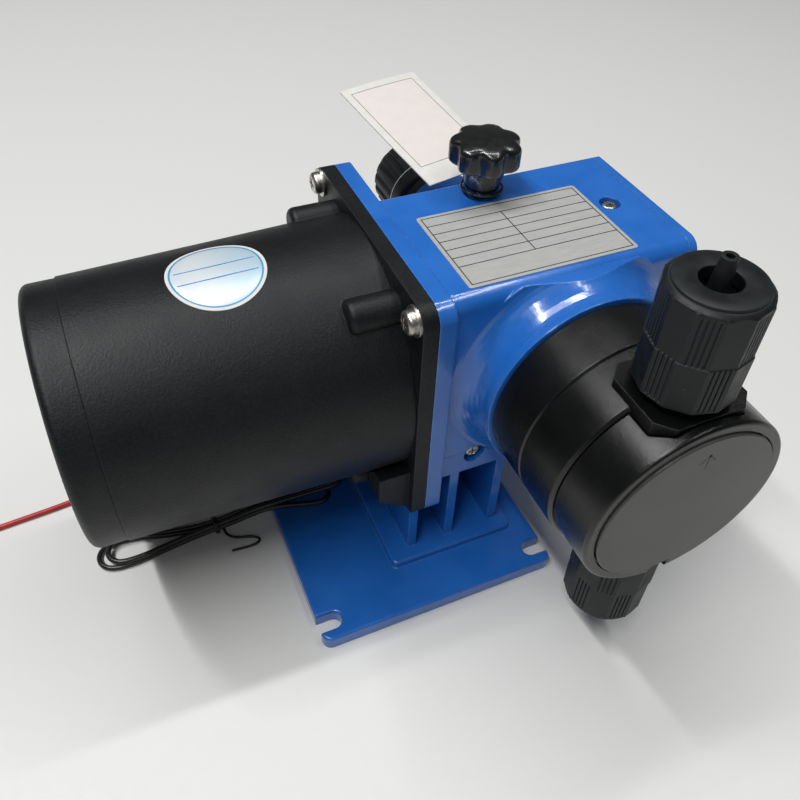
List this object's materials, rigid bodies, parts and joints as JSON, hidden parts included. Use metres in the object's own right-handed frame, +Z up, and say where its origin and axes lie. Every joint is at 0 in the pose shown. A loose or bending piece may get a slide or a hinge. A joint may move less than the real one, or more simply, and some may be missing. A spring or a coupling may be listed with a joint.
{
  "type": "diaphragm metering pump",
  "caption": "Motor-driven diaphragm metering pump on a slotted base, with hose unions above and below its head, a stroke dial and a lock knob.",
  "frame": {"origin": "centre of the base's slot pattern, on the underside of the base", "axes": "+Z up, +X from the motor towards the gearbox's end cover, -Y towards the pump head"},
  "size_m": [0.2442, 0.1704, 0.1413],
  "materials": {
    "blue_enamel": "gloss",
    "black_cast": "matte",
    "black_plastic": "matte",
    "gloss_black": "satin",
    "satin_disc": "satin",
    "zinc_steel": "satin",
    "steel": "satin",
    "bronze": "satin",
    "laminations": "matte",
    "copper": "satin",
    "white_fluoropolymer": "satin",
    "ceramic": "gloss",
    "black_rubber": "matte",
    "label_foil": "satin",
    "white_card": "matte",
    "tie_wire": "satin",
    "red_insulation": "satin",
    "black_insulation": "satin",
    "tinned_copper": "satin"
  },
  "bodies": {
    "pump": {"base_pedestal": "blue_enamel", "bearing_outer_rings": "steel", "black_lead": "black_insulation", "black_lead_coil": "black_insulation", "black_lead_tail": "black_insulation", "bottom_bearing_plug": "steel", "case_screws": "zinc_steel", "dial_retainer": "steel", "diaphragm": "white_fluoropolymer", "end_cover": "blue_enamel", "end_cover_screws": "zinc_steel", "flange_screws": "zinc_steel", "front_cover": "gloss_black", "front_disc": "satin_disc", "gear_housing": "blue_enamel", "head_bolts": "zinc_steel", "head_bracket": "gloss_black", "hose_nozzles": "black_plastic", "inspection_sticker": "label_foil", "lead_grommet": "black_rubber", "lead_hank": "black_insulation", "lead_terminals": "tinned_copper", "motor_bracket": "black_cast", "motor_cover": "black_cast", "motor_cover_screws": "zinc_steel", "notice_tag": "white_card", "pedestal_bolts": "zinc_steel", "plunger_bush": "bronze", "pump_head": "gloss_black", "rating_label": "label_foil", "rear_cap": "black_cast", "red_lead": "red_insulation", "red_lead_coil": "red_insulation", "return_spring": "steel", "stator_core": "laminations", "stator_windings": "copper", "tag_tie": "tie_wire", "twist_tie": "black_insulation", "valve_cages": "white_fluoropolymer", "valve_o_rings": "black_rubber", "valve_seats": "white_fluoropolymer", "wheel_shaft_bushes": "bronze"},
    "motor_rotor": {"worm_shaft": "steel", "rotor_core": "laminations", "bearing_inner_rings": "steel"},
    "wheel": {"worm_wheel": "bronze", "wheel_shaft": "steel"},
    "plunger": {"plunger": "steel", "diaphragm_insert": "steel"},
    "discharge_ball": {"discharge_ball": "ceramic"},
    "suction_ball": {"suction_ball": "ceramic"},
    "stroke_stop": {"stroke_stop": "steel"},
    "dial": {"stroke_dial": "black_plastic", "adjusting_spindle": "steel"},
    "lock_knob": {"star_knob": "gloss_black", "lock_screw": "zinc_steel"},
    "discharge_clamp_ring": {"discharge_clamp_ring": "black_plastic"},
    "discharge_nut": {"discharge_nut": "black_plastic"},
    "suction_clamp_ring": {"suction_clamp_ring": "black_plastic"},
    "suction_nut": {"suction_nut": "black_plastic"}
  },
  "joints": [
    {"name": "rotor_spin", "type": "hinge", "parent": "pump", "child": "motor_rotor", "pos_m": [0, 0, 0.0687], "axis": [1, 0, 0], "continuous": true},
    {"name": "wheel_spin", "type": "hinge", "parent": "pump", "child": "wheel", "pos_m": [0.0425, -0.0165, 0.0687], "axis": [0, 0, 1], "continuous": true},
    {"name": "plunger_stroke", "type": "slide", "parent": "pump", "child": "plunger", "axis": [0, -1, 0], "range_m": [0, 0.003], "stiffness_N_per_m": 1500, "springref_m": -0.004, "deforming": ["return_spring", "diaphragm"]},
    {"name": "discharge_ball_lift", "type": "slide", "parent": "pump", "child": "discharge_ball", "axis": [0, 0, 1], "range_m": [0, 0.0012]},
    {"name": "suction_ball_lift", "type": "slide", "parent": "pump", "child": "suction_ball", "axis": [0, 0, 1], "range_m": [0, 0.0012]},
    {"name": "dial_turn", "type": "hinge", "parent": "pump", "child": "dial", "pos_m": [0.0425, 0, 0.0764], "axis": [0, 1, 0], "range_deg": [0, 1080]},
    {"name": "stop_slide", "type": "slide", "parent": "pump", "child": "stroke_stop", "axis": [0, 1, 0], "range_m": [0, 0.003]},
    {"name": "lock_knob_turn", "type": "hinge", "parent": "pump", "child": "lock_knob", "pos_m": [0.0355, 0.0075, 0.1086], "axis": [0, 0, 1], "range_deg": [0, 180]},
    {"name": "discharge_ring_lift", "type": "slide", "parent": "pump", "child": "discharge_clamp_ring", "axis": [0, 0, 1], "range_m": [0, 0.003]},
    {"name": "discharge_nut_turn", "type": "hinge", "parent": "discharge_clamp_ring", "child": "discharge_nut", "pos_m": [0.0425, -0.0794, 0.12], "axis": [0, 0, 1], "range_deg": [0, 540]},
    {"name": "suction_ring_drop", "type": "slide", "parent": "pump", "child": "suction_clamp_ring", "axis": [0, 0, -1], "range_m": [0, 0.003]},
    {"name": "suction_nut_turn", "type": "hinge", "parent": "suction_clamp_ring", "child": "suction_nut", "pos_m": [0.0425, -0.0794, 0.033], "axis": [0, 0, -1], "range_deg": [0, 540]}
  ],
  "couplings": [
    {"joint": "wheel_spin", "follows": "rotor_spin", "ratio": 0.041667},
    {"joint": "stop_slide", "follows": "dial_turn", "m_per_rad": 0.00015915},
    {"joint": "discharge_ring_lift", "follows": "discharge_nut_turn", "m_per_rad": 0.00031831},
    {"joint": "suction_ring_drop", "follows": "suction_nut_turn", "m_per_rad": 0.00031831}
  ]
}
